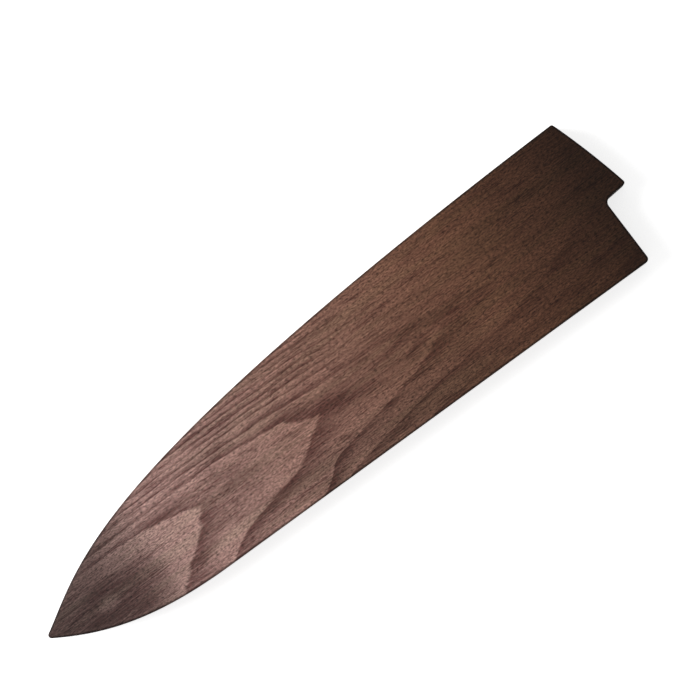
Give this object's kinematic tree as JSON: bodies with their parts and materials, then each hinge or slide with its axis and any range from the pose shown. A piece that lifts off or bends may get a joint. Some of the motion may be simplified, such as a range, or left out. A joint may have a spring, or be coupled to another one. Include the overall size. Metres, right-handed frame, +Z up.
{
  "type": "knife blade guard",
  "caption": "Flat wooden sheath for a chef's knife, glued up from face plates and rails around a blade slot, with hidden disc magnets and a stepped mouth.",
  "frame": {"origin": "middle of the bounding box, on the back face that the sheath lies on", "axes": "+X from the nose to the mouth, +Y from the knife's edge side to its spine side, +Z up through the front face"},
  "size_m": [0.259, 0.059, 0.014],
  "materials": {
    "plate_walnut": "oiled dark walnut, satin",
    "rail_walnut": "oiled dark walnut, satin",
    "magnet_nickel": "nickel plating on a disc magnet"
  },
  "bodies": {
    "root": {"front_plate": "plate_walnut", "back_plate": "plate_walnut", "spine_rail": "rail_walnut", "edge_rail": "rail_walnut", "front_magnet_1": "magnet_nickel", "front_magnet_2": "magnet_nickel", "back_magnet_1": "magnet_nickel", "back_magnet_2": "magnet_nickel"}
  },
  "joints": []
}
